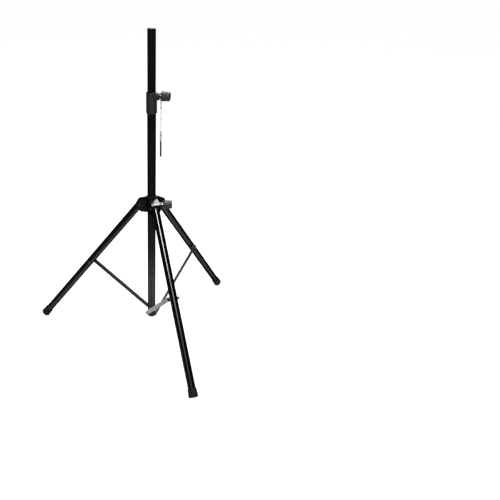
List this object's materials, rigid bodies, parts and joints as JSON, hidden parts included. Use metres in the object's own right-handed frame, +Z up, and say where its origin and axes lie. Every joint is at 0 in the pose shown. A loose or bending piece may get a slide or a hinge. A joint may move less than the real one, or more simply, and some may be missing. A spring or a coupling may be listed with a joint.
{
  "type": "speaker tripod stand",
  "caption": "Floor-standing tripod stand with a telescopic pole for a loudspeaker, folding legs with flat braces, screw clamps and a locking pin on a wire lanyard.",
  "frame": {"origin": "point of the pole axis on the floor plane, midway between the three feet", "axes": "+Z up along the pole; the clamp knobs point to about +X; one leg points to -X and the others to 60 and 300 degrees in plan"},
  "size_m": [0.8894, 1.0202, 1.422],
  "materials": {
    "gloss_black": "gloss",
    "strap_black": "gloss",
    "hub_black": "gloss",
    "collar_plastic": "satin",
    "soft_plastic": "satin",
    "knob_plastic": "satin",
    "zinc_steel": "satin",
    "black_steel": "satin",
    "brass": "satin",
    "rubber": "matte",
    "wire": "satin",
    "ferrule": "satin",
    "ring_steel": "satin",
    "pin_black": "satin"
  },
  "bodies": {
    "mast": {"lower_tube": "gloss_black", "collar_body": "collar_plastic", "collar_bush": "soft_plastic", "collar_rivets": "black_steel", "bottom_bracket": "collar_plastic", "bracket_cap": "soft_plastic", "bracket_bolts": "black_steel"},
    "collar_clamp": {"collar_shoe": "brass"},
    "collar_handle": {"collar_knob": "knob_plastic", "collar_screw": "zinc_steel"},
    "pole_glide": {"glide_plug": "soft_plastic"},
    "pole": {"upper_tube": "gloss_black", "pole_cap": "soft_plastic"},
    "hub": {"hub_body": "hub_black", "hub_bush": "soft_plastic", "leg_bolts": "black_steel", "leg_bolt_nuts": "black_steel"},
    "hub_clamp": {"hub_shoe": "brass"},
    "hub_handle": {"hub_knob": "knob_plastic", "hub_screw": "zinc_steel"},
    "lanyard": {"lanyard_eye": "wire", "lanyard_cable": "wire", "lanyard_ferrules": "ferrule", "lanyard_ring": "ring_steel"},
    "pin": {"pin_eye": "brass", "locking_pin": "pin_black"},
    "leg_left": {"leg_tube_left": "gloss_black", "leg_insert_left": "soft_plastic", "leg_foot_left": "rubber", "leg_saddle_left": "soft_plastic", "leg_nut_left": "black_steel"},
    "strap_left": {"brace_left": "strap_black", "brace_bolt_left": "black_steel"},
    "leg_front": {"leg_tube_front": "gloss_black", "leg_insert_front": "soft_plastic", "leg_foot_front": "rubber", "leg_saddle_front": "soft_plastic", "leg_nut_front": "black_steel"},
    "strap_front": {"brace_front": "strap_black", "brace_bolt_front": "black_steel"},
    "leg_rear": {"leg_tube_rear": "gloss_black", "leg_insert_rear": "soft_plastic", "leg_foot_rear": "rubber", "leg_saddle_rear": "soft_plastic", "leg_nut_rear": "black_steel"},
    "strap_rear": {"brace_rear": "strap_black", "brace_bolt_rear": "black_steel"}
  },
  "joints": [
    {"name": "pole_slide", "type": "slide", "parent": "mast", "child": "pole_glide", "axis": [0, 0, 1], "range_m": [-0.155, 0.43]},
    {"name": "pole_turn", "type": "hinge", "parent": "pole_glide", "child": "pole", "pos_m": [0, 0, 0.3], "axis": [0, 0, 1], "continuous": true},
    {"name": "hub_slide", "type": "slide", "parent": "mast", "child": "hub", "axis": [0, 0, 1], "range_m": [0, 0.22168]},
    {"name": "collar_clamp_turn", "type": "hinge", "parent": "collar_clamp", "child": "collar_handle", "pos_m": [0.04973, -0.00523, 1.162], "axis": [0.9945, -0.1045, 0], "range_deg": [0, 720.1]},
    {"name": "collar_clamp_travel", "type": "slide", "parent": "mast", "child": "collar_clamp", "axis": [0.9945, -0.1045, 0], "range_m": [0, 0.0025]},
    {"name": "hub_clamp_turn", "type": "hinge", "parent": "hub_clamp", "child": "hub_handle", "pos_m": [0.05909, 0.01042, 0.67497], "axis": [0.9848, 0.1736, 0], "range_deg": [0, 720.1]},
    {"name": "hub_clamp_travel", "type": "slide", "parent": "hub", "child": "hub_clamp", "axis": [0.9848, 0.1736, 0], "range_m": [0, 0.0025]},
    {"name": "leg_left_fold", "type": "hinge", "parent": "hub", "child": "leg_left", "pos_m": [-0.051, 0, 0.67797], "axis": [0, -1, 0], "range_deg": [0, 35.91]},
    {"name": "strap_left_fold", "type": "hinge", "parent": "mast", "child": "strap_left", "pos_m": [0, 0, 0.0905], "axis": [0, 1, 0], "range_deg": [0, 40.02]},
    {"name": "leg_front_fold", "type": "hinge", "parent": "hub", "child": "leg_front", "pos_m": [0.0255, -0.04417, 0.67797], "axis": [0.866, 0.5, 0], "range_deg": [0, 35.91]},
    {"name": "strap_front_fold", "type": "hinge", "parent": "mast", "child": "strap_front", "pos_m": [0, 0, 0.0905], "axis": [-0.866, -0.5, 0], "range_deg": [0, 40.02]},
    {"name": "leg_rear_fold", "type": "hinge", "parent": "hub", "child": "leg_rear", "pos_m": [0.0255, 0.04417, 0.67797], "axis": [-0.866, 0.5, 0], "range_deg": [0, 35.91]},
    {"name": "strap_rear_fold", "type": "hinge", "parent": "mast", "child": "strap_rear", "pos_m": [0, 0, 0.0905], "axis": [0.866, -0.5, 0], "range_deg": [0, 40.02]},
    {"name": "lanyard_swing", "type": "hinge", "parent": "mast", "child": "lanyard", "pos_m": [0.04097, -0.00431, 1.162], "axis": [0.9945, -0.1045, 0], "range_deg": [-75, 75]},
    {"name": "pin_swing", "type": "hinge", "parent": "lanyard", "child": "pin", "pos_m": [0.04097, -0.00431, 0.9788], "axis": [-0.1045, -0.9945, 0], "range_deg": [-10, 80]}
  ],
  "couplings": [
    {"joint": "collar_clamp_turn", "follows": "collar_clamp_travel", "rad_per_m": 5026.5},
    {"joint": "hub_clamp_turn", "follows": "hub_clamp_travel", "rad_per_m": 5026.5},
    {"joint": "leg_left_fold", "follows": "hub_slide", "rad_per_m": 2.8265},
    {"joint": "strap_left_fold", "follows": "hub_slide", "rad_per_m": 3.1498},
    {"joint": "leg_front_fold", "follows": "hub_slide", "rad_per_m": 2.8265},
    {"joint": "strap_front_fold", "follows": "hub_slide", "rad_per_m": 3.1498},
    {"joint": "leg_rear_fold", "follows": "hub_slide", "rad_per_m": 2.8265},
    {"joint": "strap_rear_fold", "follows": "hub_slide", "rad_per_m": 3.1498}
  ]
}
